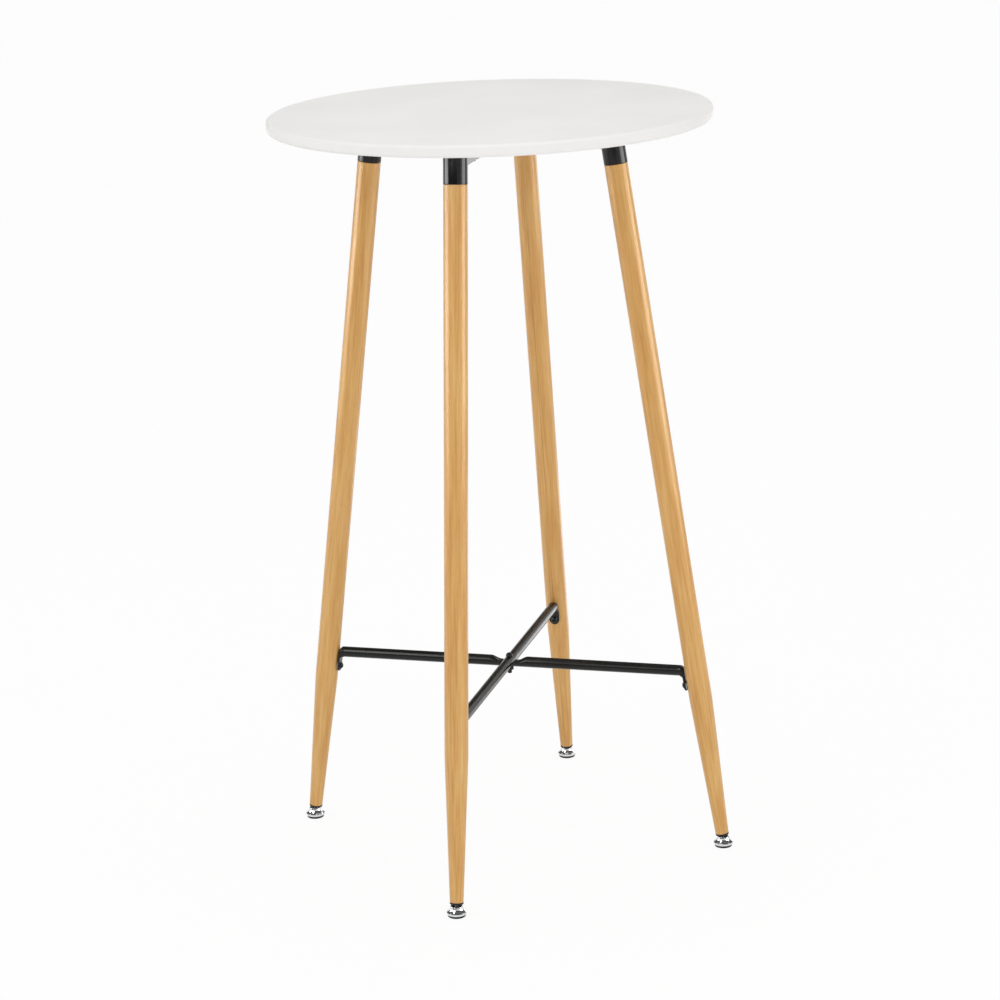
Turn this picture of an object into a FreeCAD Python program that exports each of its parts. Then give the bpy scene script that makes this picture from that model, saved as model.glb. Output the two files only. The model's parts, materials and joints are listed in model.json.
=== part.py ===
"""Bar table: a round top on four splayed tube legs, with a cross brace and levelling swivel feet.

Frame: +Z up, origin on the floor under the middle of the top. The legs stand on the axes:
front on -Y, right on +X, back on +Y, left on -X. All sizes are in millimetres.
"""
import FreeCAD
import Part
import math
import os

# Whole table
table_height = 1040.0           # floor to upper face of the top
foot_circle_radius = 305.0      # where the leg axes meet the floor
socket_circle_radius = 165.5    # where the leg axes meet the underside of the top

# Round top
top_diameter = 600.0
top_thickness = 16.0
top_upper_round = 4.0
top_lower_round = 5.0

# Legs: round tube, drawn down to a smaller tip
leg_diameter = 32.0
leg_wall = 1.5
leg_taper_length = 200.0
leg_tip_diameter = 18.6
leg_tip_height = 19.4           # middle of the leg's open lower end above the floor
leg_edge_round = 0.6

# Leg sockets under the top
socket_diameter = 32.4
socket_wall = 2.0
socket_length = 55.0            # underside of the top to the top of the leg, along the leg axis
socket_plate_thickness = 4.0
socket_edge_round = 0.8

# Cross frame under the top: upright rectangular tube
bar_depth = 34.0
bar_width = 20.0
bar_wall = 1.5

# Bolts that hold the frame to the top
frame_bolt_circle_radius = 80.0
frame_bolt_diameter = 6.0
frame_bolt_head_diameter = 10.0
frame_bolt_head_height = 4.0
frame_bolt_socket_width = 4.0   # across the flats of the key recess
frame_bolt_socket_depth = 2.0
frame_bolt_engagement = 9.0
frame_washer_diameter = 14.0
frame_washer_thickness = 1.5
top_insert_diameter = 10.0
top_insert_length = 10.0
top_insert_hole_depth = 11.0

# Bolts that hold the legs in line with the sockets
leg_bolt_diameter = 10.0
leg_bolt_head_width = 17.0      # across the flats
leg_bolt_head_height = 6.4
leg_bolt_engagement = 26.0
leg_insert_length = 30.0

# Cross brace: two tubes, each pressed to half its height where they cross
brace_height = 258.0            # tube axes above the floor
brace_diameter = 15.0
brace_wall = 1.5
brace_flat_half_length = 9.0    # half of the flat at the crossing
brace_flat_run = 18.0           # length of the slope from the flat to the full tube
brace_tab_thickness = 3.0
brace_tab_width = 15.5
brace_outer_bend = 6.5          # radius from the top of the tube onto the leg's side of the tab
brace_inner_bend = 3.0          # radius from the bottom of the tube onto the other side
brace_tab_screw_drop = 19.0     # tube axis down to the screw, along the leg
bend_stations = 4               # sections drawn from the round tube to the flat tab
bend_lag = 1.5                  # power by which the inner side of the bend runs behind the outer

# Screws and rivet nuts at the brace ends
brace_screw_diameter = 6.0
brace_screw_head_diameter = 11.0
brace_screw_head_height = 3.6
brace_screw_engagement = 9.0
brace_screw_recess_width = 4.0  # across the flats of the key recess
brace_screw_recess_depth = 1.8
rivet_nut_diameter = 9.0
rivet_nut_length = 11.0
rivet_nut_flange_diameter = 13.0
rivet_nut_flange_thickness = 0.8

# Bolt and nut at the crossing
brace_bolt_diameter = 6.0
brace_bolt_head_diameter = 10.0
brace_bolt_head_height = 5.0
brace_bolt_tail = 5.0           # thread that stands out below the nut
brace_nut_width = 10.0          # across the flats
brace_nut_height = 5.0

# Feet: plug in the leg tip, threaded stem with a ball, pad and bright shell
plug_flange_thickness = 2.8
plug_length = 24.0
plug_edge_round = 0.6
foot_nut_diameter = 11.0
foot_nut_length = 16.0
foot_nut_inset = 4.0            # lower face of the nut above the leg tip
stem_diameter = 8.0
stem_top_inset = 22.0           # top of the stem above the leg tip
stem_neck_diameter = 6.0
stem_neck_length = 8.5          # ball middle to the start of the thread
ball_diameter = 9.0
ball_height = 7.7               # middle of the ball above the floor
pad_diameter = 24.0
pad_thickness = 3.4
pad_edge_round = 0.7
pad_ledge_thickness = 2.2
pad_boss_diameter = 14.0
pad_boss_height = 9.2
shell_diameter = 27.0
shell_wall = 0.8
shell_skirt_height = 3.6        # lower edge of the shell above the floor
shell_shoulder_height = 6.4     # top of the upright skirt
shell_height = 14.6             # top of the shell above the floor
shell_neck_diameter = 16.6
shell_hole_diameter = 10.4
shell_flare_sag = 0.7           # how far the flare is drawn in from a straight cone
shell_top_round = 0.6
shell_rim_round = 0.5

# Clearances
weld_gap = 0.1                  # between a bar's end and the round socket that it is welded to
thread_clearance = 0.08         # radial, thread in its nut
hole_clearance = 0.3            # radial, bolt in a plain hole
press_clearance = 0.05          # radial, pressed-in pieces
ball_clearance = 0.1            # radial, ball in its seat
cut_overrun = 5.0               # how far cutters run past the faces that they cut

V = FreeCAD.Vector
ORIGIN = V(0, 0, 0)
X = V(1, 0, 0)
Y = V(0, 1, 0)
Z = V(0, 0, 1)
LEGS = {"front": -90.0, "right": 0.0, "back": 90.0, "left": 180.0}

underside_height = table_height - top_thickness
lean = math.atan2(foot_circle_radius - socket_circle_radius, underside_height)
axis_length = underside_height / math.cos(lean)
tip_distance = leg_tip_height / math.cos(lean)
leg_top_distance = axis_length - socket_length
leg_length = leg_top_distance - tip_distance
leg_radius = leg_diameter / 2
taper_slope = (leg_diameter - leg_tip_diameter) / 2 / leg_taper_length
ball_distance = ball_height / math.cos(lean)
ball_circle_radius = foot_circle_radius - ball_height * math.tan(lean)


def cylinder(radius, low, high, axis=Z):
    """A cylinder on the axis through the origin, between two heights."""
    return Part.makeCylinder(radius, high - low, axis * low, axis)


def prism(width, low, high):
    """A six-sided prism on Z, with its width across the flats."""
    corner = width / math.sqrt(3)
    turns = [math.radians(60 * i) for i in range(7)]
    outline = Part.makePolygon([V(corner * math.cos(t), corner * math.sin(t), low) for t in turns])
    return Part.Face(outline).extrude(Z * (high - low))


def turned(points):
    """A closed outline of radius and height, turned about Z."""
    corners = [V(r, 0, z) for r, z in points]
    outline = Part.makePolygon(corners + corners[:1])
    return Part.Face(outline).revolve(ORIGIN, Z, 360)


def rounded(shape, radius, size, height):
    """Round the circular edges that have this radius and lie at this height."""
    def chosen(edge):
        curve = edge.Curve
        if curve.TypeId != "Part::GeomCircle":
            return False
        near = size / 10
        return abs(curve.Radius - radius) < near and abs(curve.Center.z - height) < near
    return shape.makeFillet(size, [e for e in shape.Edges if chosen(e)])


def on_leg(shape, azimuth, distance=0.0):
    """Move a piece drawn up +Z, with +X outward, to a leg's axis, a distance up from the floor."""
    placed = shape.copy()
    placed.translate(Z * distance)
    placed.rotate(ORIGIN, Y, -math.degrees(lean))
    placed.translate(X * foot_circle_radius)
    placed.rotate(ORIGIN, Z, azimuth)
    return placed


def around(shape, azimuth):
    """Turn a piece drawn on the +X side to a leg's side of the table."""
    placed = shape.copy()
    placed.rotate(ORIGIN, Z, azimuth)
    return placed


def frame_bolt_places():
    return [V(frame_bolt_circle_radius, 0, 0), V(-frame_bolt_circle_radius, 0, 0),
            V(0, frame_bolt_circle_radius, 0), V(0, -frame_bolt_circle_radius, 0)]


def at_frame_bolts(shape):
    copies = []
    for place in frame_bolt_places():
        copy = shape.copy()
        copy.translate(place)
        copies.append(copy)
    return Part.makeCompound(copies)


# The top and what holds it

def make_top():
    """A flat disc with a small upper round, a larger lower round and blind holes for the inserts."""
    radius = top_diameter / 2
    disc = cylinder(radius, underside_height, table_height)
    disc = rounded(disc, radius, top_upper_round, table_height)
    disc = rounded(disc, radius, top_lower_round, underside_height)
    hole = cylinder(top_insert_diameter / 2 + press_clearance,
                    underside_height - cut_overrun, underside_height + top_insert_hole_depth)
    return disc.cut(at_frame_bolts(hole))


def make_top_inserts():
    insert = cylinder(top_insert_diameter / 2, underside_height, underside_height + top_insert_length)
    bore = cylinder(frame_bolt_diameter / 2 + thread_clearance,
                    underside_height - cut_overrun, underside_height + top_insert_length + cut_overrun)
    return at_frame_bolts(insert.cut(bore))


def make_frame_bolts():
    """Socket-head bolts that come up through the bars into the inserts."""
    seat = underside_height - bar_depth - frame_washer_thickness
    shank = cylinder(frame_bolt_diameter / 2, seat, underside_height + frame_bolt_engagement)
    head = cylinder(frame_bolt_head_diameter / 2, seat - frame_bolt_head_height, seat)
    under = seat - frame_bolt_head_height
    recess = prism(frame_bolt_socket_width, under - cut_overrun, under + frame_bolt_socket_depth)
    return at_frame_bolts(shank.fuse(head).removeSplitter().cut(recess))


def make_frame_washers():
    under = underside_height - bar_depth
    ring = cylinder(frame_washer_diameter / 2, under - frame_washer_thickness, under)
    bore = cylinder(frame_bolt_diameter / 2 + hole_clearance,
                    under - frame_washer_thickness - cut_overrun, under + cut_overrun)
    return at_frame_bolts(ring.cut(bore))


def bar_tube(start, end):
    """A rectangular tube along X with its upper side on the underside of the top."""
    low = underside_height - bar_depth
    outer = Part.makeBox(end - start, bar_width, bar_depth, V(start, -bar_width / 2, low))
    inner = Part.makeBox(end - start + 2 * cut_overrun, bar_width - 2 * bar_wall, bar_depth - 2 * bar_wall,
                         V(start - cut_overrun, -bar_width / 2 + bar_wall, low + bar_wall))
    return outer.cut(inner)


def socket_space(azimuth):
    """The room that a leg socket takes, with the weld gap round it."""
    reach = axis_length + socket_diameter
    return on_leg(cylinder(socket_diameter / 2 + weld_gap, leg_top_distance, reach), azimuth)


def bolt_holes():
    hole = cylinder(frame_bolt_diameter / 2 + hole_clearance,
                    underside_height - bar_depth - cut_overrun, underside_height + cut_overrun)
    return at_frame_bolts(hole)


def bar_end():
    """Radius of the leg axis at half the depth of the bars."""
    return socket_circle_radius + bar_depth / 2 * math.tan(lean)


def make_frame_bar():
    """The bar that runs through from the front socket to the back socket."""
    bar = around(bar_tube(-bar_end(), bar_end()), LEGS["back"])
    return bar.cut([socket_space(LEGS["front"]), socket_space(LEGS["back"]), bolt_holes()])


def make_frame_arm(side):
    """A short bar from the side of the through bar to the left or the right socket."""
    arm = around(bar_tube(bar_width / 2, bar_end()), LEGS[side])
    return arm.cut([socket_space(LEGS[side]), bolt_holes()])


def make_socket(azimuth):
    """A short tube in line with the leg, closed below by a plate, cut level under the top."""
    radius = socket_diameter / 2
    reach = axis_length + socket_diameter
    body = cylinder(radius, leg_top_distance, reach)
    body = rounded(body, radius, socket_edge_round, leg_top_distance)
    inside = cylinder(radius - socket_wall, leg_top_distance + socket_plate_thickness, reach + cut_overrun)
    hole = cylinder(leg_bolt_diameter / 2 + hole_clearance,
                    leg_top_distance - cut_overrun, leg_top_distance + socket_plate_thickness + cut_overrun)
    body = on_leg(body.cut([inside, hole]), azimuth)
    above = Part.makeBox(top_diameter, top_diameter, top_diameter,
                         V(-top_diameter / 2, -top_diameter / 2, underside_height))
    return body.cut(above)


def make_leg_bolts():
    """Hexagon bolts inside the sockets that draw the legs up against the socket plates."""
    seat = leg_top_distance + socket_plate_thickness
    shank = cylinder(leg_bolt_diameter / 2, leg_top_distance - leg_bolt_engagement, seat)
    head = prism(leg_bolt_head_width, seat, seat + leg_bolt_head_height)
    bolt = shank.fuse(head)
    return Part.makeCompound([on_leg(bolt, azimuth) for azimuth in LEGS.values()])


# The legs

def make_leg_top_inserts():
    """Threaded plugs pressed into the tops of the leg tubes."""
    insert = cylinder(leg_radius - leg_wall - press_clearance,
                      leg_top_distance - leg_insert_length, leg_top_distance)
    bore = cylinder(leg_bolt_diameter / 2 + thread_clearance,
                    leg_top_distance - leg_insert_length - cut_overrun, leg_top_distance + cut_overrun)
    insert = insert.cut(bore)
    return Part.makeCompound([on_leg(insert, azimuth) for azimuth in LEGS.values()])


def screw_distance():
    """Distance up a leg's axis to the brace screw."""
    return brace_height / math.cos(lean) - brace_tab_screw_drop


def make_leg(azimuth):
    """A round tube of one diameter that narrows evenly to its tip, with a hole for the rivet nut."""
    tip = leg_tip_diameter / 2
    taper_top = tip_distance + leg_taper_length
    outer = turned([(0, tip_distance), (tip, tip_distance), (leg_radius, taper_top),
                    (leg_radius, leg_top_distance), (0, leg_top_distance)])
    outer = rounded(outer, leg_radius, leg_edge_round, leg_top_distance)
    outer = rounded(outer, tip, leg_edge_round, tip_distance)
    below = tip_distance - cut_overrun
    above = leg_top_distance + cut_overrun
    bore = leg_radius - leg_wall
    inner = turned([(0, below), (tip - leg_wall - taper_slope * cut_overrun, below), (bore, taper_top),
                    (bore, above), (0, above)])
    hole = cylinder(rivet_nut_diameter / 2 + press_clearance, -leg_diameter, 0, X)
    hole.translate(Z * screw_distance())
    return on_leg(outer.cut([inner, hole]), azimuth)


# The brace

def press_cutter(half_length, floor):
    """The space above a pressed flat: level in the middle and rising in two smooth slopes."""
    ceiling = brace_diameter / 2
    end = half_length + brace_flat_run
    knee = V(half_length, 0, floor)
    brow = V(end, 0, ceiling)
    middle = (knee + brow) / 2
    slope = math.atan2(ceiling - floor, brace_flat_run)
    bulge = knee.distanceToPoint(middle) / 2 * math.tan(slope / 2)
    normal = V(-math.sin(slope), 0, math.cos(slope))
    low_mid = (knee + middle) / 2 - normal * bulge
    high_mid = (middle + brow) / 2 + normal * bulge
    roof = ceiling + brace_diameter

    def flip(v):
        return V(-v.x, v.y, v.z)

    edges = [Part.makeLine(flip(knee), knee),
             Part.Arc(knee, low_mid, middle).toShape(),
             Part.Arc(middle, high_mid, brow).toShape(),
             Part.makeLine(brow, V(end, 0, roof)),
             Part.makeLine(V(end, 0, roof), V(-end, 0, roof)),
             Part.makeLine(V(-end, 0, roof), flip(brow)),
             Part.Arc(flip(brow), flip(high_mid), flip(middle)).toShape(),
             Part.Arc(flip(middle), flip(low_mid), flip(knee)).toShape()]
    face = Part.Face(Part.Wire(edges))
    face.translate(Y * -brace_diameter)
    return face.extrude(Y * (2 * brace_diameter))


def tab_back():
    """Leg axis to the side of the tab that lies on the rivet nut's flange."""
    return leg_radius + rivet_nut_flange_thickness


def bend_start(offset, height, radius):
    """Where a level line on the tube starts to bend down onto a line beside the right leg.

    The offset is the second line's distance from the leg's axis, and the height is above the tube's axis.
    """
    turn = math.pi / 2 - lean
    end_height = brace_height + height - radius * (1 - math.cos(turn))
    line = foot_circle_radius - end_height * math.tan(lean) - offset / math.cos(lean)
    return line - radius * math.sin(turn)


def bend_point(start, run, radius, distance):
    """A point on a line that runs level, bends down to the lean of the leg and goes on straight."""
    if distance < run:
        return start + X * distance
    turn = math.pi / 2 - lean
    angle = min((distance - run) / radius, turn)
    bend = V(math.sin(angle), 0, math.cos(angle)) * radius
    rest = distance - run - radius * angle
    return start + X * run - Z * radius + bend + V(math.sin(lean), 0, -math.cos(lean)) * rest


def flattened(top, bottom, share):
    """A section between two points, round at share 0 and as wide and square as the tab at share 1."""
    middle = (top + bottom) / 2
    up = (top - bottom) / 2
    half_width = (brace_diameter + (brace_tab_width - brace_diameter) * share) / 2
    round_corner = math.sqrt(2) / 2
    corner = round_corner + (1 - round_corner) * share
    side = Y * half_width
    corners = [middle + (up * a + side * b) * corner for a, b in ((1, 1), (1, -1), (-1, -1), (-1, 1))]
    mids = [middle + up, middle - side, middle - up, middle + side]
    if share == 1:
        return Part.makePolygon(corners + corners[:1])
    return Part.Wire([Part.Arc(corners[i], mids[i], corners[(i + 1) % 4]).toShape() for i in range(4)])


def round_end():
    """How far the tube is round: where its top starts to bend down."""
    return bend_start(tab_back(), brace_diameter / 2, brace_outer_bend)


def brace_end():
    """One end of a brace tube on the +X side, drawn with the tube axis at height zero."""
    radius = brace_diameter / 2
    turn = math.pi / 2 - lean
    x0 = round_end()
    top, bottom = V(x0, 0, radius), V(x0, 0, -radius)
    run = bend_start(tab_back() + brace_tab_thickness, -radius, brace_inner_bend) - x0
    inner_length = run + brace_inner_bend * turn
    inner_end = bend_point(bottom, run, brace_inner_bend, inner_length)
    arc_end = bend_point(top, 0, brace_outer_bend, brace_outer_bend * turn)
    down = V(math.sin(lean), 0, -math.cos(lean))
    outer_length = brace_outer_bend * turn + (inner_end - arc_end).dot(down)
    sections = []
    for i in range(bend_stations + 1):
        share = i / bend_stations
        outer = bend_point(top, 0, brace_outer_bend, outer_length * share)
        inner = bend_point(bottom, run, brace_inner_bend, inner_length * share ** bend_lag)
        sections.append(flattened(outer, inner, share))
    bend = Part.makeLoft(sections, True)
    foot = V(foot_circle_radius, 0, -brace_height)
    return bend.fuse(brace_tab((foot - inner_end).dot(down))).removeSplitter()


def tab_frame(shape):
    """Lay a piece drawn in the leg's own frame onto the right leg, at the brace's height."""
    placed = on_leg(shape, LEGS["right"])
    placed.translate(Z * -brace_height)
    return placed


def brace_tab(top):
    """The flat end that lies along the leg up to a distance from the floor, with a round lower end and a hole."""
    screw = screw_distance()
    thin = brace_tab_thickness
    back = -(tab_back() + thin)
    plate = Part.makeBox(thin, brace_tab_width, top - screw, V(back, -brace_tab_width / 2, screw))
    end = cylinder(brace_tab_width / 2, back, back + thin, X)
    end.translate(Z * screw)
    hole = cylinder(brace_screw_diameter / 2 + hole_clearance, back - cut_overrun, back + thin + cut_overrun, X)
    hole.translate(Z * screw)
    return tab_frame(plate.fuse(end).removeSplitter().cut(hole))


def brace_tube(pressed_side):
    """A tube along X with its axis at height zero, pressed flat at the crossing.

    The pressed side is a turn about the tube's axis: 0 presses it from above and 180 from below.
    """
    radius = brace_diameter / 2
    reach = round_end()
    outer_press = press_cutter(brace_flat_half_length, 0)
    inner_press = press_cutter(brace_flat_half_length + brace_wall, -brace_wall)
    for press in (outer_press, inner_press):
        press.rotate(ORIGIN, X, pressed_side)
    outer = cylinder(radius, -reach, reach, X).cut(outer_press)
    inner = cylinder(radius - brace_wall, -reach, reach, X).cut(inner_press)
    end = brace_end()
    hole = cylinder(brace_bolt_diameter / 2 + hole_clearance, -brace_diameter, brace_diameter)
    return outer.fuse([end, around(end, 180)]).removeSplitter().cut([inner, hole])


def make_brace_lower():
    """The left-right tube, pressed from above at the crossing."""
    tube = brace_tube(0)
    tube.translate(Z * brace_height)
    return tube


def make_brace_upper():
    """The front-back tube, pressed from below at the crossing."""
    tube = around(brace_tube(180), LEGS["back"])
    tube.translate(Z * brace_height)
    return tube


def make_rivet_nuts():
    """Threaded sleeves set in the legs, with a thin flange between leg and tab."""
    face = -leg_radius
    body = cylinder(rivet_nut_diameter / 2, face, face + rivet_nut_length, X)
    flange = cylinder(rivet_nut_flange_diameter / 2, face - rivet_nut_flange_thickness, face, X)
    bore = cylinder(brace_screw_diameter / 2 + thread_clearance,
                    face - rivet_nut_flange_thickness - cut_overrun, face + rivet_nut_length + cut_overrun, X)
    nut = body.fuse(flange).removeSplitter().cut(bore)
    nut.translate(Z * screw_distance())
    return Part.makeCompound([on_leg(nut, azimuth) for azimuth in LEGS.values()])


def domed(diameter, height, seat):
    """A button head that stands up from its seat."""
    radius = diameter / 2
    sphere_radius = (radius * radius + height * height) / (2 * height)
    ball = Part.makeSphere(sphere_radius, V(0, 0, seat + height - sphere_radius))
    return ball.common(cylinder(radius, seat, seat + height))


def make_brace_screws():
    """Button-head screws that hold the tabs to the legs."""
    seat = leg_radius + rivet_nut_flange_thickness + brace_tab_thickness
    head = domed(brace_screw_head_diameter, brace_screw_head_height, seat)
    shank = cylinder(brace_screw_diameter / 2, leg_radius - brace_screw_engagement, seat)
    crown = seat + brace_screw_head_height
    recess = prism(brace_screw_recess_width, crown - brace_screw_recess_depth, crown + cut_overrun)
    screw = head.fuse(shank).removeSplitter().cut(recess)
    screw.rotate(ORIGIN, Y, -90)
    screw.translate(Z * screw_distance())
    return Part.makeCompound([on_leg(screw, azimuth) for azimuth in LEGS.values()])


def make_brace_bolt():
    """The upright bolt through the crossing, its round head above."""
    radius = brace_diameter / 2
    head = domed(brace_bolt_head_diameter, brace_bolt_head_height, brace_height + radius)
    low = brace_height - radius - brace_nut_height - brace_bolt_tail
    return head.fuse(cylinder(brace_bolt_diameter / 2, low, brace_height + radius)).removeSplitter()


def make_brace_nut():
    top = brace_height - brace_diameter / 2
    nut = prism(brace_nut_width, top - brace_nut_height, top)
    bore = cylinder(brace_bolt_diameter / 2 + thread_clearance,
                    top - brace_nut_height - cut_overrun, top + cut_overrun)
    return nut.cut(bore)


# The feet

def make_plug(azimuth):
    """A plug in the leg tip: a flange as wide as the tip and a body that follows the taper."""
    tip = leg_tip_diameter / 2
    low = tip_distance - plug_flange_thickness
    bore = tip - leg_wall - press_clearance
    top = tip_distance + plug_length
    flange = cylinder(tip, low, tip_distance)
    flange = rounded(flange, tip, plug_edge_round, low)
    body = turned([(0, tip_distance), (bore, tip_distance), (bore + taper_slope * plug_length, top), (0, top)])
    nut_low = tip_distance + foot_nut_inset
    nut_room = cylinder(foot_nut_diameter / 2 + press_clearance, nut_low, top + cut_overrun)
    stem_room = cylinder(stem_diameter / 2 + hole_clearance, low - cut_overrun, top + cut_overrun)
    return on_leg(flange.fuse(body).removeSplitter().cut([nut_room, stem_room]), azimuth)


def make_foot_nuts():
    """Threaded sleeves in the plugs, which the stems turn in."""
    low = tip_distance + foot_nut_inset
    sleeve = cylinder(foot_nut_diameter / 2, low, low + foot_nut_length)
    bore = cylinder(stem_diameter / 2 + thread_clearance, low - cut_overrun, low + foot_nut_length + cut_overrun)
    sleeve = sleeve.cut(bore)
    return Part.makeCompound([on_leg(sleeve, azimuth) for azimuth in LEGS.values()])


def make_stem(azimuth):
    """A threaded stem with a narrower neck and a ball at its lower end."""
    ball = Part.makeSphere(ball_diameter / 2, V(0, 0, ball_distance))
    shoulder = ball_distance + stem_neck_length
    neck = cylinder(stem_neck_diameter / 2, ball_distance, shoulder)
    thread = cylinder(stem_diameter / 2, shoulder, tip_distance + stem_top_inset)
    return on_leg(thread.fuse([neck, ball]).removeSplitter(), azimuth)


def shell_inner_radius():
    return shell_diameter / 2 - shell_wall


def make_pad(azimuth):
    """The pad on the floor: a disc, a wider ledge inside the shell and a boss with the ball's seat."""
    radius = pad_diameter / 2
    disc = cylinder(radius, 0, pad_thickness)
    disc = rounded(disc, radius, pad_edge_round, 0)
    ledge_top = pad_thickness + pad_ledge_thickness
    ledge = cylinder(shell_inner_radius() - press_clearance, pad_thickness, ledge_top)
    boss = cylinder(pad_boss_diameter / 2, ledge_top, pad_boss_height)
    seat = Part.makeSphere(ball_diameter / 2 + ball_clearance, V(0, 0, ball_height))
    pad = disc.fuse([ledge, boss]).removeSplitter().cut(seat)
    pad.translate(X * ball_circle_radius)
    return around(pad, azimuth)


def flare(outset, low_height, high_height):
    """The drawn-in slope of the shell between its shoulder and its neck, moved out by an outset."""
    wide = V(shell_diameter / 2 + outset, 0, low_height)
    narrow = V(shell_neck_diameter / 2 + outset, 0, high_height)
    along = narrow - wide
    inward = V(-along.z, 0, along.x).normalize()
    return Part.Arc(wide, (wide + narrow) / 2 + inward * shell_flare_sag, narrow).toShape()


def shell_form(inset):
    """The shell's outline as a solid of turning, drawn in by an inset on every side."""
    wide = V(shell_diameter / 2 - inset, 0, shell_shoulder_height)
    neck = V(shell_neck_diameter / 2 - inset, 0, shell_height - shell_top_round - inset)
    slope = flare(-inset, wide.z, neck.z)
    low = shell_skirt_height - (cut_overrun if inset else 0)
    top = shell_height - inset
    edges = [slope,
             Part.makeLine(neck, V(neck.x, 0, top)),
             Part.makeLine(V(neck.x, 0, top), V(0, 0, top)),
             Part.makeLine(V(0, 0, top), V(0, 0, low)),
             Part.makeLine(V(0, 0, low), V(wide.x, 0, low)),
             Part.makeLine(V(wide.x, 0, low), wide)]
    return Part.Face(Part.Wire(edges)).revolve(ORIGIN, Z, 360)


def make_shell(azimuth):
    """The bright bell over the pad: an upright skirt, a drawn-in flare and a round hole for the stem."""
    outer = shell_form(0)
    outer = rounded(outer, shell_neck_diameter / 2, shell_top_round / 2, shell_height)
    outer = rounded(outer, shell_diameter / 2, shell_rim_round, shell_shoulder_height)
    hole = cylinder(shell_hole_diameter / 2, ball_height, shell_height + cut_overrun)
    shell = outer.cut([shell_form(shell_wall), hole])
    shell.translate(X * ball_circle_radius)
    return around(shell, azimuth)


def build():
    pieces = {
        "table_top": make_top(),
        "top_inserts": make_top_inserts(),
        "frame_bolts": make_frame_bolts(),
        "frame_washers": make_frame_washers(),
        "frame_bar": make_frame_bar(),
        "frame_arm_left": make_frame_arm("left"),
        "frame_arm_right": make_frame_arm("right"),
        "leg_bolts": make_leg_bolts(),
        "leg_top_inserts": make_leg_top_inserts(),
        "brace_tube_lower": make_brace_lower(),
        "brace_tube_upper": make_brace_upper(),
        "brace_rivet_nuts": make_rivet_nuts(),
        "brace_screws": make_brace_screws(),
        "brace_bolt": make_brace_bolt(),
        "brace_nut": make_brace_nut(),
        "foot_nuts": make_foot_nuts(),
    }
    for side, azimuth in LEGS.items():
        pieces["leg_socket_" + side] = make_socket(azimuth)
        pieces["leg_" + side] = make_leg(azimuth)
        pieces["foot_plug_" + side] = make_plug(azimuth)
        pieces["foot_stem_" + side] = make_stem(azimuth)
        pieces["foot_pad_" + side] = make_pad(azimuth)
        pieces["foot_shell_" + side] = make_shell(azimuth)
    return pieces


os.makedirs("parts", exist_ok=True)
for name, shape in build().items():
    solids = len(shape.Solids)
    print(name, "valid" if shape.isValid() else "NOT VALID", solids, "solids", round(shape.Volume / 1000, 3), "cm3")
    shape.exportStep("parts/" + name + ".step")
print("lean of the legs", round(math.degrees(lean), 3), "degrees")
print("ball circle radius", round(ball_circle_radius, 4))
print("round end", round(round_end(), 3), "screw distance", round(screw_distance(), 3))
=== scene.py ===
import json
import math

import bpy
from mathutils import Matrix, Vector


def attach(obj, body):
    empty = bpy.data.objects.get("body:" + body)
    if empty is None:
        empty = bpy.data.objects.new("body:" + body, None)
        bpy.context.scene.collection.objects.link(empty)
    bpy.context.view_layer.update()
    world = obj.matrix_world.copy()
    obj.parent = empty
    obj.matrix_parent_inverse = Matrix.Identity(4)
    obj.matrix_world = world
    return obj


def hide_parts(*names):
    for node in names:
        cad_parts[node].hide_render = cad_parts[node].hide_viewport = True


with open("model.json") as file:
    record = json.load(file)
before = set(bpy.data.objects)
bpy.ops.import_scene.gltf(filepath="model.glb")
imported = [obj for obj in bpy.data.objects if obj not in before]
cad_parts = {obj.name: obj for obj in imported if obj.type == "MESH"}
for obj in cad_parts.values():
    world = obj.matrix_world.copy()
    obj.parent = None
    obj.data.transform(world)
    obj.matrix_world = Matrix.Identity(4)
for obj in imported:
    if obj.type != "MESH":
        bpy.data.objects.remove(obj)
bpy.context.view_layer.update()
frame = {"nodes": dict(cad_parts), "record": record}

# Sizes in millimetres, as in the solids, with a few finer forms of the scene's own
MM = 0.001
TABLE_HEIGHT = 1040.0
TOP_DIAMETER = 600.0
TOP_THICKNESS = 16.0
TOP_UPPER_ROUND = 4.0
TOP_LOWER_ROUND = 5.0
FOOT_CIRCLE = 305.0
SOCKET_CIRCLE = 165.5
LEG_DIAMETER = 32.0
LEG_WALL = 1.5
LEG_TIP_DIAMETER = 18.6
LEG_TAPER = 200.0
LEG_TIP_HEIGHT = 19.4
LEG_KNEE_ROUND = 220.0          # the soft turn from the straight tube into the taper
LEG_MOUTH = 3.0                 # how deep the inside shows at a leg's open ends
EDGE_ROUND = 0.6
SOCKET_DIAMETER = 32.4
SOCKET_LENGTH = 55.0
SOCKET_ROUND = 0.8
BRACE_HEIGHT = 258.0
BRACE_DIAMETER = 15.0
BRACE_FLAT = 9.0
BRACE_SLOPE = 18.0
BRACE_SPREAD = 0.05             # share by which a tube widens where it is pressed
TAB_THICKNESS = 3.0
TAB_WIDTH = 15.5
TAB_SCREW_DROP = 19.0
OUTER_BEND = 6.5
INNER_BEND = 3.0
BEND_LAG = 1.5                  # power by which the inner side of the bend runs behind the outer
RIVET_FLANGE = 0.8
PLUG_FLANGE = 2.8
PLUG_DEPTH = 6.0
STEM_DIAMETER = 8.0
STEM_NECK_DIAMETER = 6.0
STEM_NECK = 8.5
STEM_INSET = 22.0
THREAD_PITCH = 1.25
THREAD_DEPTH = 0.65
BALL_DIAMETER = 9.0
BALL_HEIGHT = 7.7
PAD_DIAMETER = 24.0
PAD_THICKNESS = 3.4
PAD_LEDGE = 2.2
PAD_BOSS_DIAMETER = 14.0
PAD_BOSS_HEIGHT = 9.2
SHELL_DIAMETER = 27.0
SHELL_WALL = 0.8
SHELL_SKIRT = 3.6
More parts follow.
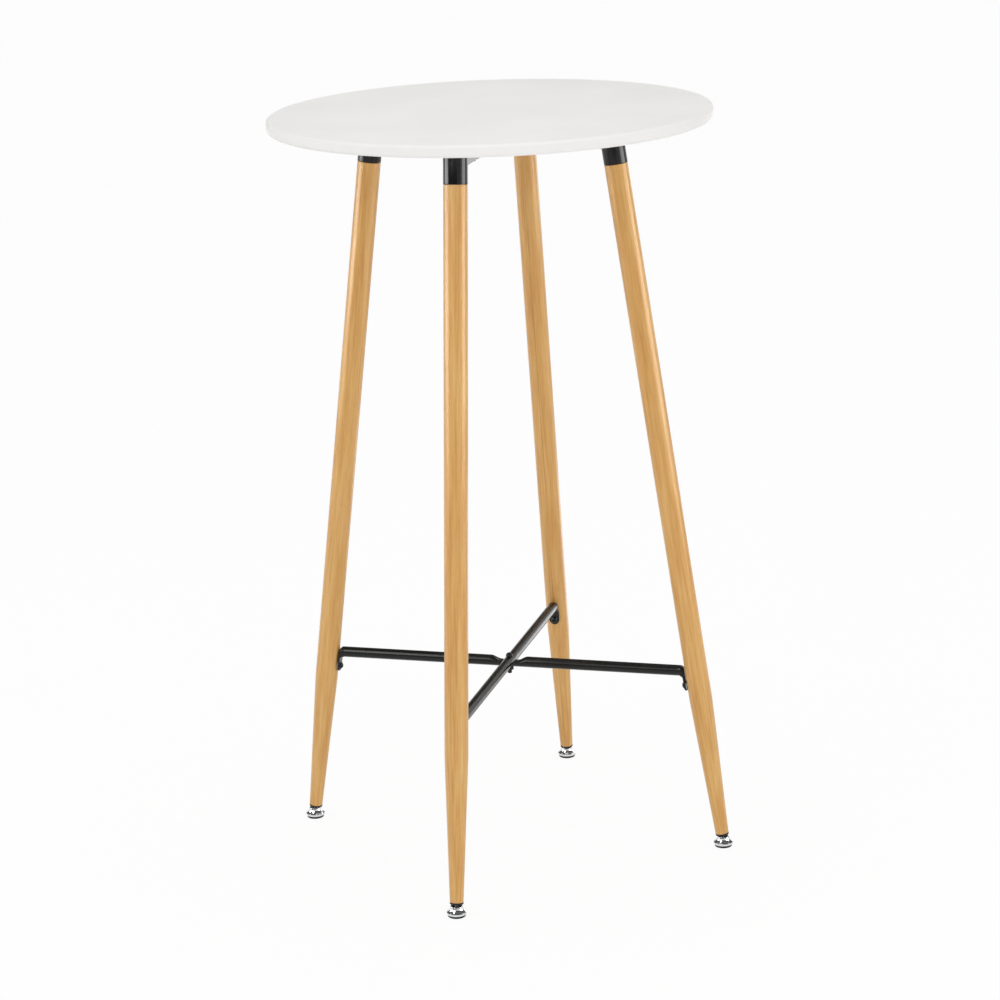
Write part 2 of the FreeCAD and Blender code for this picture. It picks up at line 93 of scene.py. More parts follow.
SHELL_SHOULDER = 6.4
SHELL_HEIGHT = 14.6
SHELL_NECK_DIAMETER = 16.6
SHELL_HOLE_DIAMETER = 10.4
SHELL_SAG = 0.8                 # how far the flare is drawn in from a straight cone
FIT = 0.05                      # air between pieces that touch
SOCKET_GAP = 3 * FIT            # between a leg's upper end and its socket
BORE_GAP = 6 * FIT              # round the stem in its plug
SEAT_GAP = 2 * FIT              # round the ball in its seat

# Points in a ring and rings in a form, enough to look smooth from near
TOP_SIDES = 360
TUBE_SIDES = 96
BRACE_SIDES = 56
PLUG_SIDES = 72
STEM_SIDES = 40
SHELL_SIDES = 128
PRESS_RINGS = 54
BEND_RINGS = 24
TAB_RINGS = 4
TAB_END_RINGS = 14
BALL_RINGS = 14
THREAD_RINGS = 8                # in one pitch
FLARE_RINGS = 24

# How square a section of the brace is, as the power of its curve
ROUND_POWER = 2.0
FLAT_POWER = 6.0

LEGS = {"front": -90.0, "right": 0.0, "back": 90.0, "left": 180.0}
UNDERSIDE = TABLE_HEIGHT - TOP_THICKNESS
LEAN = math.atan2(FOOT_CIRCLE - SOCKET_CIRCLE, UNDERSIDE)
TURN = math.pi / 2 - LEAN       # from level to the lean of a leg
DOWN = Vector((math.sin(LEAN), -math.cos(LEAN)))
AXIS_LENGTH = UNDERSIDE / math.cos(LEAN)
TIP = LEG_TIP_HEIGHT / math.cos(LEAN)
LEG_TOP = AXIS_LENGTH - SOCKET_LENGTH
BALL_CIRCLE = FOOT_CIRCLE - BALL_HEIGHT * math.tan(LEAN)


# Materials

DRIFT = (0.3, 0.7)              # where in a noise its drift starts and ends
WHITE = (1.0, 1.0, 1.0, 1.0)
BLACK = (0.0, 0.0, 0.0, 1.0)


def colour(code):
    """An sRGB hex value as a linear colour."""
    parts = [int(code[i:i + 2], 16) / 255 for i in (1, 3, 5)]
    linear = [c / 12.92 if c <= 0.04045 else ((c + 0.055) / 1.055) ** 2.4 for c in parts]
    return (*linear, 1.0)


def add(tree, kind, settings=None, **links):
    """Add a node. Settings are its properties, the values of its inputs, by name or number, or, as stops,
    the places and colours of a ramp. Links join its inputs, by name or by _number, to outputs."""
    node = tree.nodes.new("ShaderNode" + kind)
    for key, value in (settings or {}).items():
        if key == "stops":
            elements = node.color_ramp.elements
            while len(elements) < len(value):
                elements.new(1.0)
            for element, (place, tone) in zip(elements, value):
                element.position = place
                element.color = colour(tone)
        elif hasattr(node, key):
            setattr(node, key, value)
        else:
            node.inputs[int(key) if key.isdigit() else key].default_value = value
    for key, output in links.items():
        number, name = key[1:], key.replace("_", " ")
        tree.links.new(output, node.inputs[int(number) if number.isdigit() else name])
    return node


def finish_of(name, settings):
    """A material with one surface shader; returns the material, its tree and the shader."""
    material = bpy.data.materials.new(name)
    material.use_nodes = True
    tree = material.node_tree
    shader = tree.nodes["Principled BSDF"]
    for key, value in settings.items():
        shader.inputs[key].default_value = value
    return material, tree, shader


def per_mm(size):
    """Noise scale, in one over metres, for features of this size in millimetres."""
    return 1.0 / (size * MM)


def mottled(name, settings, patch, tones, roughness, grain=None):
    """A finish whose colour and roughness drift over patches of a size in millimetres.

    The grain, where there is one, is a fine bump: its size in millimetres, its strength and its depth
    in metres.
    """
    material, tree, shader = finish_of(name, settings)
    place = add(tree, "TexCoord").outputs["Object"]
    drift = add(tree, "TexNoise", {"Scale": per_mm(patch), "Detail": 3.0}, Vector=place).outputs["Fac"]
    tint = add(tree, "ValToRGB", {"stops": list(zip(DRIFT, tones))}, Fac=drift).outputs["Color"]
    tree.links.new(tint, shader.inputs["Base Color"])
    smooth_to_dull = {"To Min": roughness[0], "To Max": roughness[1]}
    level = add(tree, "MapRange", smooth_to_dull, Value=drift).outputs["Result"]
    tree.links.new(level, shader.inputs["Roughness"])
    if grain:
        size, strength, depth = grain
        ripple = {"Scale": per_mm(size), "Detail": 2.0}
        height = add(tree, "TexNoise", ripple, Vector=place).outputs["Fac"]
        relief = {"Strength": strength, "Distance": depth}
        bump = add(tree, "Bump", relief, Height=height).outputs["Normal"]
        tree.links.new(bump, shader.inputs["Normal"])
    return material


def white_lacquer():
    """Sprayed satin lacquer on fibreboard: a warm white with a faint orange peel about 2 mm across."""
    return mottled("sprayed_white_lacquer", {"IOR": 1.48, "Specular IOR Level": 0.15}, 90.0,
                   ("#F1F0EE", "#F4F3F1"), (0.48, 0.58), (2.2, 0.06, 0.0002))


def powder_coat():
    """Baked black powder coat on steel: a satin skin with a fine, even ripple under 1 mm across."""
    return mottled("black_powder_coat", {"IOR": 1.5, "Specular IOR Level": 0.3}, 35.0,
                   ("#0F0E0E", "#161514"), (0.16, 0.24), (0.7, 0.06, 0.0001))


def bright_chrome():
    """Polished chrome plate: a mirror with a faint buffing haze."""
    return mottled("polished_chrome_plate", {"Metallic": 1.0}, 3.0, ("#D6D7D8", "#DFE0E1"), (0.04, 0.11))


def black_nylon():
    """Moulded black nylon: a soft grey-black with a fine spark-eroded grain."""
    return mottled("moulded_black_nylon", {"IOR": 1.53, "Specular IOR Level": 0.4}, 8.0,
                   ("#121111", "#1A1919"), (0.40, 0.55), (0.3, 0.15, 0.00005))


def zinc_plate():
    """Zinc-plated steel: pale grey metal with a cloudy passivated bloom."""
    return mottled("zinc_plated_steel", {"Metallic": 1.0}, 2.5, ("#A9AAA6", "#C4C5C4"), (0.24, 0.42))


def black_oxide():
    """Blackened steel screws: dark metal, oily and a little uneven."""
    return mottled("black_oxide_steel", {"Metallic": 0.6}, 1.8, ("#19191A", "#262628"), (0.28, 0.42))


def turned_brass():
    """Brass turned on a lathe: yellow metal with dull patches."""
    return mottled("turned_brass", {"Metallic": 1.0}, 2.0, ("#B08A45", "#CBA65C"), (0.25, 0.40))


def beech_film():
    """Printed beech film on steel tube under clear satin lacquer: long straight grain in pale and amber
    streaks, short brown flecks, and a thin seam down the inner side."""
    lacquer = {"IOR": 1.48, "Coat Weight": 0.25, "Coat Roughness": 0.18}
    material, tree, shader = finish_of("beech_grain_film", lacquer)
    # each leg shows another stretch of the pattern
    place = add(tree, "TexCoord").outputs["Object"]
    where = add(tree, "ObjectInfo").outputs["Location"]
    apart = {"operation": "MULTIPLY_ADD", "1": (7.3, 5.1, 3.7)}
    shift = add(tree, "VectorMath", apart, _0=where, _2=place).outputs["Vector"]
    # the grain runs down the leg, so every pattern is stretched along the leg axis
    drawn_out = [{"Scale": (1.0, 1.0, stretch)} for stretch in (0.08, 0.03, 0.11)]
    broad, long, dash = [add(tree, "Mapping", scale, Vector=shift).outputs["Vector"] for scale in drawn_out]
    bands = {"Scale": per_mm(11.0), "Detail": 3.0, "Distortion": 0.4}
    tone = add(tree, "TexNoise", bands, Vector=broad).outputs["Fac"]
    strands = {"Scale": per_mm(2.6), "Detail": 5.0, "Roughness": 0.6}
    streak = add(tree, "TexNoise", strands, Vector=long).outputs["Fac"]
    fleck = add(tree, "TexNoise", {"Scale": per_mm(0.9), "Detail": 2.0}, Vector=dash).outputs["Fac"]
    wide_tones = [(0.32, "#C9924A"), (0.46, "#D4A055"), (0.58, "#DCAC63"), (0.70, "#E2B773")]
    base = add(tree, "ValToRGB", {"stops": wide_tones}, Fac=tone).outputs["Color"]
    fine_tones = [(0.34, "#C18442"), (0.47, "#D29C53"), (0.58, "#DBAB64"), (0.72, "#E6C082")]
    lines = add(tree, "ValToRGB", {"stops": fine_tones}, Fac=streak).outputs["Color"]
    # a mix of colours has its share in input 0, its colours in 6 and 7 and its result in output 2
    mixed = add(tree, "Mix", {"data_type": "RGBA", "0": 0.5}, _6=base, _7=lines).outputs[2]
    strongest = {"From Min": 0.62, "From Max": 0.72, "To Max": 0.2}
    share = add(tree, "MapRange", strongest, Value=fleck).outputs["Result"]
    brown = {"data_type": "RGBA", "7": colour("#9C6630")}
    grain = add(tree, "Mix", brown, _0=share, _6=mixed).outputs[2]
    # the seam is a line 0.4 mm wide where the film's edges meet, on the side that faces the table's middle
    local = add(tree, "SeparateXYZ", None, Vector=place).outputs
    off = add(tree, "Math", {"operation": "ABSOLUTE"}, _0=local["Y"]).outputs["Value"]
    half_line = {"From Min": 0.0001, "From Max": 0.0003, "To Min": 0.55, "To Max": 0.0}
    line = add(tree, "MapRange", half_line, Value=off).outputs["Result"]
    inner = add(tree, "Math", {"operation": "LESS_THAN", "1": 0.0}, _0=local["X"]).outputs["Value"]
    seam = add(tree, "Math", {"operation": "MULTIPLY"}, _0=line, _1=inner).outputs["Value"]
    dark_edge = {"data_type": "RGBA", "7": colour("#7D5026")}
    film = add(tree, "Mix", dark_edge, _0=seam, _6=grain).outputs[2]
    tree.links.new(film, shader.inputs["Base Color"])
    level = add(tree, "MapRange", {"To Min": 0.30, "To Max": 0.46}, Value=streak).outputs["Result"]
    tree.links.new(level, shader.inputs["Roughness"])
    bump = add(tree, "Bump", {"Strength": 0.08, "Distance": 0.0001}, Height=streak).outputs["Normal"]
    tree.links.new(bump, shader.inputs["Normal"])
    return material


FINISH = {
    "white_lacquer": white_lacquer(),
    "wood_film_tube": beech_film(),
    "black_paint": powder_coat(),
    "bright_chrome": bright_chrome(),
    "black_plastic": black_nylon(),
    "zinc_steel": zinc_plate(),
    "black_fasteners": black_oxide(),
    "brass_inserts": turned_brass(),
}
SLOTS = {part["node"]: part["material_slot"] for part in frame["record"]["subparts"]}


# Shapes

def outline(points, steps=6):
    """Corners of radius and height, each with a rounding, as a line of points with arcs in the corners."""
    line = []
    for i, (x, y, size) in enumerate(points):
        corner = Vector((x, y))
        if size == 0 or i in (0, len(points) - 1):
            line.append(corner)
            continue
        back = (Vector(points[i - 1][:2]) - corner).normalized()
        on = (Vector(points[i + 1][:2]) - corner).normalized()
        half = back.angle(on) / 2
        middle = corner + (back + on).normalized() * (size / math.sin(half))
        first = corner + back * (size / math.tan(half)) - middle
        last = corner + on * (size / math.tan(half)) - middle
        turn = first.angle_signed(last)
        for k in range(steps + 1):
            line.append(middle + Matrix.Rotation(-turn * k / steps, 2) @ first)
    return line


def arc(middle, radius, first, last, steps=8):
    """Points of radius and height on an arc about a middle point, between two angles in degrees."""
    turns = [math.radians(first + (last - first) * k / steps) for k in range(steps + 1)]
    return [Vector((middle[0] + radius * math.cos(t), middle[1] + radius * math.sin(t))) for t in turns]


def circle(radius, height, count):
    """A level ring of points."""
    turns = [2 * math.pi * k / count for k in range(count)]
    return [(radius * math.cos(t), radius * math.sin(t), height) for t in turns]


def skin(rows, close_first=False, close_last=False):
    """Points and faces of a skin over rings of points, with its ends closed where asked."""
    points = [p for row in rows for p in row]
    n = len(rows[0])
    faces = []
    for i in range(len(rows) - 1):
        for k in range(n):
            j = (k + 1) % n
            faces.append((i * n + k, i * n + j, (i + 1) * n + j, (i + 1) * n + k))
    if close_first:
        faces.append(tuple(reversed(range(n))))
    if close_last:
        faces.append(tuple(range((len(rows) - 1) * n, len(rows) * n)))
    return points, faces


def lathe(profile, count):
    """Points and faces of a turned form, closed where its profile starts or ends on the axis."""
    rows = [circle(r, z, count) for r, z in profile if r > FIT]
    return skin(rows, profile[0][0] <= FIT, profile[-1][0] <= FIT)


def piece(name, form, node, body, matrix=None, sharp=35.0):
    """A mesh piece, in millimetres, that stands for a node, rides on its body and takes its finish.

    It is shaded smooth, apart from edges that turn by more than the sharp angle in degrees.
    """
    points, faces = form
    mesh = bpy.data.meshes.new(name)
    mesh.from_pydata([Vector(p) * MM for p in points], [], faces)
    mesh.validate()
    mesh.shade_smooth()
    mesh.set_sharp_from_angle(angle=math.radians(sharp))
    mesh.materials.append(FINISH[SLOTS[node]])
    obj = bpy.data.objects.new(name, mesh)
    bpy.context.collection.objects.link(obj)
    if matrix is not None:
        obj.matrix_world = matrix
        bpy.context.view_layer.update()
    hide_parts(node)
    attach(obj, body)


def leg_frame(side):
    """From a leg's own frame, +Z up its axis from the floor and +X outward, to the table's frame."""
    round_table = Matrix.Rotation(math.radians(LEGS[side]), 4, "Z")
    outward = Matrix.Translation((FOOT_CIRCLE * MM, 0, 0))
    return round_table @ outward @ Matrix.Rotation(-LEAN, 4, "Y")


def base_frame(side):
    """The level frame of a foot's base, on the floor under the ball."""
    round_table = Matrix.Rotation(math.radians(LEGS[side]), 4, "Z")
    return round_table @ Matrix.Translation((BALL_CIRCLE * MM, 0, 0))


def make_top():
    """A flat disc with rounded edges, the lower round a little larger."""
    edge = TOP_DIAMETER / 2
    corners = [(0, UNDERSIDE, 0), (edge, UNDERSIDE, TOP_LOWER_ROUND),
               (edge, TABLE_HEIGHT, TOP_UPPER_ROUND), (0, TABLE_HEIGHT, 0)]
    piece("white_top", lathe(outline(corners, steps=10), TOP_SIDES), "table_top", "table")


def make_socket(side):
    """A short black tube with a soft lower edge, cut level under the top."""
    radius = SOCKET_DIAMETER / 2
    corners = [(LEG_DIAMETER / 2 - LEG_WALL, LEG_TOP, 0), (radius, LEG_TOP, SOCKET_ROUND),
               (radius, LEG_TOP + SOCKET_LENGTH / 2, 0)]
    rows = [circle(r, z, TUBE_SIDES) for r, z in outline(corners)]
    rim = circle(radius, AXIS_LENGTH - FIT, TUBE_SIDES)
    rows.append([(x, y, z - x * math.tan(LEAN)) for x, y, z in rim])
    piece("socket_" + side, skin(rows, True, True), "leg_socket_" + side, "table", leg_frame(side))


def make_leg(side):
    """A tube drawn down to its tip, with a rounded mouth at each end."""
    radius, tip = LEG_DIAMETER / 2, LEG_TIP_DIAMETER / 2
    low, high = TIP + FIT, LEG_TOP - SOCKET_GAP
    corners = [(tip - LEG_WALL, low + LEG_MOUTH, 0), (tip - LEG_WALL, low, EDGE_ROUND / 2),
               (tip, low, EDGE_ROUND), (radius, TIP + LEG_TAPER, LEG_KNEE_ROUND),
               (radius, high, EDGE_ROUND), (radius - LEG_WALL, high, EDGE_ROUND / 2),
               (radius - LEG_WALL, high - LEG_MOUTH, 0)]
    piece("beech_leg_" + side, lathe(outline(corners, steps=8), TUBE_SIDES), "leg_" + side, "table",
          leg_frame(side), sharp=50.0)


# The brace: each tube is drawn as sections from the crossing to the flat, bent-down ends

def smooth(x):
    """An even rise from 0 to 1 that starts and ends level."""
    x = min(max(x, 0.0), 1.0)
    return x * x * (3 - 2 * x)


def bend_start(offset, height, radius):
    """Where a level line on the tube starts to bend down onto a line beside the leg, offset from its
    axis."""
    end_height = BRACE_HEIGHT + height - radius * (1 - math.cos(TURN))
    return FOOT_CIRCLE - end_height * math.tan(LEAN) - offset / math.cos(LEAN) - radius * math.sin(TURN)


def bend_point(start, run, radius, distance):
    """A point on a line that runs level, bends down to the lean of the leg and goes on straight."""
    if distance < run:
        return start + Vector((distance, 0))
    angle = min((distance - run) / radius, TURN)
    bend = Vector((math.sin(angle), math.cos(angle) - 1)) * radius
    return start + Vector((run, 0)) + bend + DOWN * (distance - run - radius * angle)


def section(middle, up, high, low, half_width, power):
    """A ring across the tube: its height above and below its middle, its half width and how square it
    is."""
    ring = []
    for k in range(BRACE_SIDES):
        turn = 2 * math.pi * k / BRACE_SIDES
        c, s = math.cos(turn), math.sin(turn)
        y = half_width * math.copysign(abs(c) ** (2 / power), c)
        p = middle + up * ((high if s > 0 else low) * math.copysign(abs(s) ** (2 / power), s))
        ring.append((p.x, y, p.y))
    return ring


def brace_half(from_above):
    """Rings from the crossing, where the tube is pressed flat from above or from below, to one end."""
    radius = BRACE_DIAMETER / 2
    tab_back = LEG_DIAMETER / 2 + RIVET_FLANGE
    x0 = bend_start(tab_back, radius, OUTER_BEND)
    rows = []
    places = [(BRACE_FLAT + BRACE_SLOPE) * k / PRESS_RINGS for k in range(PRESS_RINGS + 1)]
    # the ring just before the bend keeps the shading of the long run straight
    for x in places + [x0 - INNER_BEND, x0]:
        lift = smooth((x - BRACE_FLAT) / BRACE_SLOPE)
        high, low = (radius * lift, radius) if from_above else (radius, radius * lift)
        width = radius * (1 + BRACE_SPREAD * (1 - lift))
        rows.append(section(Vector((x, 0)), Vector((0, 1)), high, low, width, ROUND_POWER))
    top, bottom = Vector((x0, radius)), Vector((x0, -radius))
    run = bend_start(tab_back + TAB_THICKNESS, -radius, INNER_BEND) - x0
    inner_length = run + INNER_BEND * TURN
    inner_end = bend_point(bottom, run, INNER_BEND, inner_length)
    arc_end = bend_point(top, 0, OUTER_BEND, OUTER_BEND * TURN)
    outer_length = OUTER_BEND * TURN + (inner_end - arc_end).dot(DOWN)
    for k in range(1, BEND_RINGS + 1):
        share = k / BEND_RINGS
        outer = bend_point(top, 0, OUTER_BEND, outer_length * share)
        inner = bend_point(bottom, run, INNER_BEND, inner_length * share ** BEND_LAG)
        middle, half = (outer + inner) / 2, (outer - inner) / 2
        width = radius + (TAB_WIDTH / 2 - radius) * share
        power = ROUND_POWER + (FLAT_POWER - ROUND_POWER) * share
        rows.append(section(middle, half.normalized(), half.length, half.length, width, power))
    # from here on the tab is flat, straight down the leg to its screw and round past it
    distance = BRACE_HEIGHT / math.cos(LEAN) - TAB_SCREW_DROP
    screw = Vector((FOOT_CIRCLE, -BRACE_HEIGHT)) - DOWN * distance
    straight = (screw - middle).dot(DOWN)
    ends = [(straight * k / TAB_RINGS, 1.0) for k in range(1, TAB_RINGS + 1)]
    for k in range(1, TAB_END_RINGS + 1):
        a = math.pi / 2 * k / TAB_END_RINGS
        ends.append((straight + TAB_WIDTH / 2 * math.sin(a), max(math.cos(a), FIT)))
    for along, share in ends:
        width = TAB_WIDTH / 2 * share
        rows.append(section(middle + DOWN * along, half.normalized(), half.length, half.length, width,
                            FLAT_POWER))
    return rows


def make_brace(node, name, from_above, turn):
    """A whole tube: one half and its mirror image, turned about the upright axis."""
    half = brace_half(from_above)
    rows = [[(-x, y, z) for x, y, z in row] for row in reversed(half[1:])] + half
    place = Matrix.Rotation(turn, 4, "Z")
    place.translation = (0, 0, BRACE_HEIGHT * MM)
    piece(name, skin(rows, True, True), node, "table", place, sharp=60.0)


# Feet: black plug, threaded stem, black pad and chrome bell

def make_plug(side):
    """A black end plug: a flange as wide as the leg's tip, with a bore for the stem."""
    tip, bore = LEG_TIP_DIAMETER / 2, STEM_DIAMETER / 2 + BORE_GAP
    body = tip - LEG_WALL - FIT
    corners = [(bore, TIP + PLUG_DEPTH, 0), (bore, TIP - PLUG_FLANGE, EDGE_ROUND / 2),
               (tip, TIP - PLUG_FLANGE, EDGE_ROUND), (tip, TIP - FIT, EDGE_ROUND / 2),
               (body, TIP - FIT, 0), (body, TIP + PLUG_DEPTH, 0)]
    piece("tip_plug_" + side, lathe(outline(corners), PLUG_SIDES), "foot_plug_" + side, "table",
          leg_frame(side))


def make_stem(side):
    """A threaded rod with a narrow neck and a ball; the thread is a single-start helix."""
    crest = STEM_DIAMETER / 2
    ball = BALL_HEIGHT / math.cos(LEAN)
    low, high = ball + STEM_NECK, TIP + STEM_INSET
    # the ball runs from just off its lowest point up to the neck
    bottom, waist = -84, math.degrees(math.acos(STEM_NECK_DIAMETER / BALL_DIAMETER))
    profile = arc((0, ball), BALL_DIAMETER / 2, bottom, waist, BALL_RINGS)
    rows = [circle(r, z, STEM_SIDES) for r, z in profile]
    rows.append(circle(STEM_NECK_DIAMETER / 2, low, STEM_SIDES))
    steps = int((high - low) / THREAD_PITCH * THREAD_RINGS)
    for k in range(steps + 1):
        z = low + (high - low) * k / steps
        fade = max(min(1.0, (z - low) / THREAD_PITCH, (high - z) / THREAD_PITCH), 0.0)
        ring = []
        for i in range(STEM_SIDES):
            phase = ((z - low) / THREAD_PITCH - i / STEM_SIDES) % 1.0
            r = crest - THREAD_DEPTH + THREAD_DEPTH * (1 - abs(2 * phase - 1)) * fade
            turn = 2 * math.pi * i / STEM_SIDES
            ring.append((r * math.cos(turn), r * math.sin(turn), z))
        rows.append(ring)
    piece("levelling_stem_" + side, skin(rows, True, True), "foot_stem_" + side, "stem_" + side,
          leg_frame(side), sharp=40.0)


def make_pad(side):
    """A black pad with a soft lower edge, a ledge inside the bell and a boss with the ball's seat."""
    edge, boss = PAD_DIAMETER / 2, PAD_BOSS_DIAMETER / 2
    ledge, ledge_top = SHELL_DIAMETER / 2 - SHELL_WALL - FIT, PAD_THICKNESS + PAD_LEDGE
    seat = BALL_DIAMETER / 2 + SEAT_GAP
    corners = [(0, 0, 0), (edge, 0, EDGE_ROUND), (edge, PAD_THICKNESS, 0), (ledge, PAD_THICKNESS, 0),
               (ledge, ledge_top, EDGE_ROUND / 2), (boss, ledge_top, EDGE_ROUND / 2),
               (boss, PAD_BOSS_HEIGHT, EDGE_ROUND / 2), (seat, PAD_BOSS_HEIGHT, 0)]
    profile = outline(corners) + arc((0, BALL_HEIGHT), seat, 0, -90)
    piece("floor_pad_" + side, lathe(profile, TUBE_SIDES), "foot_pad_" + side, "base_" + side,
          base_frame(side))


def make_shell(side):
    """A bell of thin plate: rolled rim, upright skirt, drawn-in flare and a turned-over mouth round the
    stem."""
    wide, neck, hole = SHELL_DIAMETER / 2, SHELL_NECK_DIAMETER / 2, SHELL_HOLE_DIAMETER / 2
    roll = SHELL_WALL / 2
    flare = []
    for k in range(FLARE_RINGS + 1):
        t = k / FLARE_RINGS
        sag = SHELL_SAG * 4 * t * (1 - t)
        rise = SHELL_SHOULDER + (SHELL_HEIGHT - SHELL_WALL - SHELL_SHOULDER) * t
        flare.append(Vector((wide + (neck - wide) * t - sag * math.cos(LEAN), rise - sag / 2)))
    inside = [Vector((r - SHELL_WALL, z - roll)) for r, z in reversed(flare)]
    profile = arc((wide - roll, SHELL_SKIRT + roll), roll, -180, 0) + flare
    profile += arc((neck - SHELL_WALL, SHELL_HEIGHT - SHELL_WALL), SHELL_WALL, 0, 90)
    profile += arc((hole + roll, SHELL_HEIGHT - roll), roll, 90, 270) + inside
    profile.append(Vector((wide - SHELL_WALL, SHELL_SKIRT + roll)))
    piece("chrome_bell_" + side, lathe(profile, SHELL_SIDES), "foot_shell_" + side, "base_" + side,
          base_frame(side), sharp=45.0)


make_top()
make_brace("brace_tube_lower", "brace_left_right", True, 0.0)
make_brace("brace_tube_upper", "brace_front_back", False, math.pi / 2)
for side in LEGS:
    make_socket(side)
    make_leg(side)
    make_plug(side)
    make_stem(side)
    make_pad(side)
    make_shell(side)

for name, obj in frame["nodes"].items():
    obj.data.materials.clear()
    obj.data.materials.append(FINISH[SLOTS[name]])


# Floor, light and camera, in metres

FLOOR_HALF = 40.0
FLOOR_WHITENING = 0.9           # share of plain white in what the camera sees of the floor
ROOM_LIGHT = 0.82
DARK_CLOTH = 0.12
SCREEN_STEPS = 24
ROOF_RADIUS = 4.2
ROOF_HEIGHT = 6.0
ROOF_SIDES = 96

# Degrees round the table from its right, radius, lower and upper edge, brightness
SCREENS = {
    "dark_front_left": (206, 300, 6.0, 0.0, 1.4, DARK_CLOTH),
    "dark_front_right": (316, 366, 6.0, 0.0, 1.4, DARK_CLOTH),
    "dark_back": (6, 206, 6.0, 1.0, 7.0, DARK_CLOTH),
    "dark_front_high": (190, 382, 5.0, 2.4, 7.0, DARK_CLOTH),
    "bright_left": (180, 218, 2.3, 0.62, 1.15, 9.5),
    "soft_left": (180, 218, 2.3, 0.44, 0.62, 3.5),
    "bright_right": (344, 380, 2.3, 0.44, 1.15, 8.0),
    "soft_right": (344, 380, 2.3, 0.26, 0.44, 3.0),
    "faint_right": (320, 344, 2.3, 0.3, 1.15, 1.4),
    "soft_back": (54, 80, 0.85, 0.3, 0.75, 1.0),
    "low_back": (54, 68, 0.85, 0.0, 0.3, 1.9),
    "bright_back": (68, 80, 0.85, 0.0, 0.3, 3.4),
    "high_back": (54, 80, 0.85, 0.75, 1.0, 2.5),
    "bright_high": (232, 250, 2.6, 1.4, 2.6, 6.5),
    "bright_upper": (228, 242, 2.6, 2.6, 4.8, 5.0),
    "soft_high": (250, 264, 2.6, 1.2, 2.6, 2.4),
}


def stage_mesh(name, points, faces, material):
    """A mesh in metres that belongs to the studio, not to the table."""
    mesh = bpy.data.meshes.new(name)
    mesh.from_pydata(points, [], faces)
    mesh.materials.append(material)
    obj = bpy.data.objects.new(name, mesh)
    bpy.context.collection.objects.link(obj)
    return obj


def seen_rays(tree):
    """1 for what the camera sees, straight or in metal and glass, and 0 for light on the table."""
    path = add(tree, "LightPath").outputs
    either = {"operation": "MAXIMUM"}
    seen = add(tree, "Math", either, _0=path["Is Camera Ray"], _1=path["Is Glossy Ray"]).outputs["Value"]
    return add(tree, "Math", either, _0=seen, _1=path["Is Transmission Ray"]).outputs["Value"]


def make_floor():
    """White paper, which the camera sees a little whiter than the light makes it, with the table's faint
    shadow."""
    paper = {"Roughness": 0.9, "Specular IOR Level": 0.1}
    material, tree, shader = finish_of("white_studio_paper", paper)
    place = add(tree, "TexCoord").outputs["Object"]
    cloud = add(tree, "TexNoise", {"Scale": per_mm(400.0), "Detail": 2.0}, Vector=place).outputs["Fac"]
    tones = list(zip(DRIFT, ("#FAFAFA", "#FCFCFC")))
    tint = add(tree, "ValToRGB", {"stops": tones}, Fac=cloud).outputs["Color"]
    tree.links.new(tint, shader.inputs["Base Color"])
    whiten = {"operation": "MULTIPLY", "1": FLOOR_WHITENING}
    share = add(tree, "Math", whiten, _0=seen_rays(tree)).outputs["Value"]
    white = add(tree, "Emission", {"Color": WHITE, "Strength": 1.0}).outputs["Emission"]
    mix = add(tree, "MixShader", None, _0=share, _1=shader.outputs["BSDF"], _2=white).outputs["Shader"]
    tree.links.new(mix, tree.nodes["Material Output"].inputs["Surface"])
    corners = [(x * FLOOR_HALF, y * FLOOR_HALF, 0) for x, y in ((-1, -1), (1, -1), (1, 1), (-1, 1))]
    stage_mesh("studio_floor", corners, [(0, 1, 2, 3)], material)


def make_screens():
    """What only shiny surfaces see: dark cloth low and high in front, high behind and overhead, and bright
    screens at both sides, behind and high in front. They give black paint and chrome their bands."""
    forms = {}
    for name, (first, last, radius, low, high, bright) in SCREENS.items():
        turns = [math.radians(first + (last - first) * k / SCREEN_STEPS) for k in range(SCREEN_STEPS + 1)]
        points = [(radius * math.cos(t), radius * math.sin(t), z) for z in (low, high) for t in turns]
        above = len(turns)
        faces = [(k, k + 1, k + 1 + above, k + above) for k in range(SCREEN_STEPS)]
        forms[name] = (points, faces, bright)
    roof = circle(ROOF_RADIUS, ROOF_HEIGHT, ROOF_SIDES)
    forms["dark_roof"] = (roof, [tuple(range(ROOF_SIDES))], DARK_CLOTH)
    for name, (points, faces, bright) in forms.items():
        glow = {"Base Color": BLACK, "Specular IOR Level": 0.0, "Emission Color": WHITE,
                "Emission Strength": bright}
        material = finish_of(name + "_screen", glow)[0]
        material.cycles.emission_sampling = "NONE"
        screen = stage_mesh(name, points, faces, material)
        screen.visible_camera = False
        screen.visible_diffuse = False
        screen.visible_transmission = False
        screen.visible_shadow = False


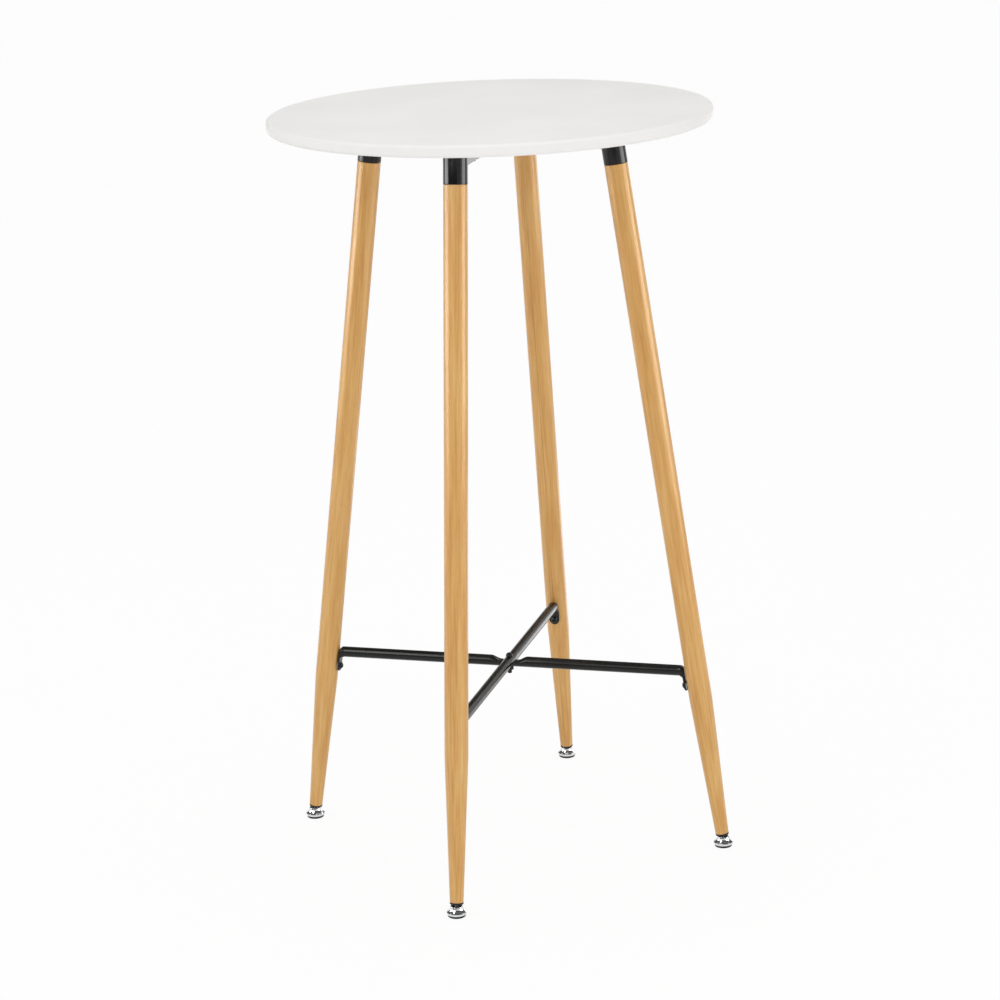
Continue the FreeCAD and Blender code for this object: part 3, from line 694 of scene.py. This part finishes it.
def make_world():
    """Even soft light; the camera and mirrors see plain white."""
    world = bpy.data.worlds.new("white_studio")
    bpy.context.scene.world = world
    world.use_nodes = True
    tree = world.node_tree
    light = tree.nodes["Background"]
    light.inputs["Color"].default_value = WHITE
    light.inputs["Strength"].default_value = ROOM_LIGHT
    white = add(tree, "Background", {"Color": WHITE, "Strength": 1.0}).outputs["Background"]
    even = light.outputs["Background"]
    mix = add(tree, "MixShader", None, _0=seen_rays(tree), _1=even, _2=white).outputs["Shader"]
    tree.links.new(mix, tree.nodes["World Output"].inputs["Surface"])


def make_lamp(name, place, size, power):
    """A round soft lamp aimed at the middle of the table; what mirrors see are the screens."""
    data = bpy.data.lights.new(name, "AREA")
    data.shape = "DISK"
    data.size = size
    data.energy = power
    lamp = bpy.data.objects.new(name, data)
    lamp.location = place
    aim = Vector((0, 0, TABLE_HEIGHT * MM / 2)) - Vector(place)
    lamp.rotation_mode = "QUATERNION"
    lamp.rotation_quaternion = aim.to_track_quat("-Z", "Y")
    lamp.visible_glossy = False
    bpy.context.collection.objects.link(lamp)


def make_camera():
    """The photograph's viewpoint: a little above the top, turned towards the right-hand side."""
    elevation, azimuth, roll = math.radians(15.89), math.radians(15.94), math.radians(-2.12)
    distance, across, height = 4.093, -0.005, 0.495
    sensor_width, lens_share = 36.0, 2.93648
    level = math.cos(elevation)
    back = Vector((math.sin(azimuth) * level, -math.cos(azimuth) * level, math.sin(elevation)))
    right = Vector((math.cos(azimuth), math.sin(azimuth), 0))
    up = back.cross(right)
    rolled_right = right * math.cos(roll) + up * math.sin(roll)
    rolled_up = up * math.cos(roll) - right * math.sin(roll)
    data = bpy.data.cameras.new("viewpoint")
    data.sensor_width = sensor_width
    data.lens = sensor_width * lens_share
    data.clip_end = 200.0
    camera = bpy.data.objects.new("viewpoint", data)
    place = Matrix((rolled_right, rolled_up, back)).transposed().to_4x4()
    place.translation = Vector((0, 0, height)) + right * across + back * distance
    camera.matrix_world = place
    bpy.context.collection.objects.link(camera)
    bpy.context.scene.camera = camera


make_floor()
make_screens()
make_world()
make_lamp("soft_front_left", (-1.3, -2.3, 3.0), size=1.6, power=8.0)
make_lamp("soft_front_right", (2.6, -2.2, 1.5), size=1.6, power=9.0)
make_lamp("soft_overhead", (0.0, 0.0, 3.55), size=2.0, power=9.5)
make_camera()
bpy.context.scene.view_settings.view_transform = "Standard"

bpy.context.view_layer.update()
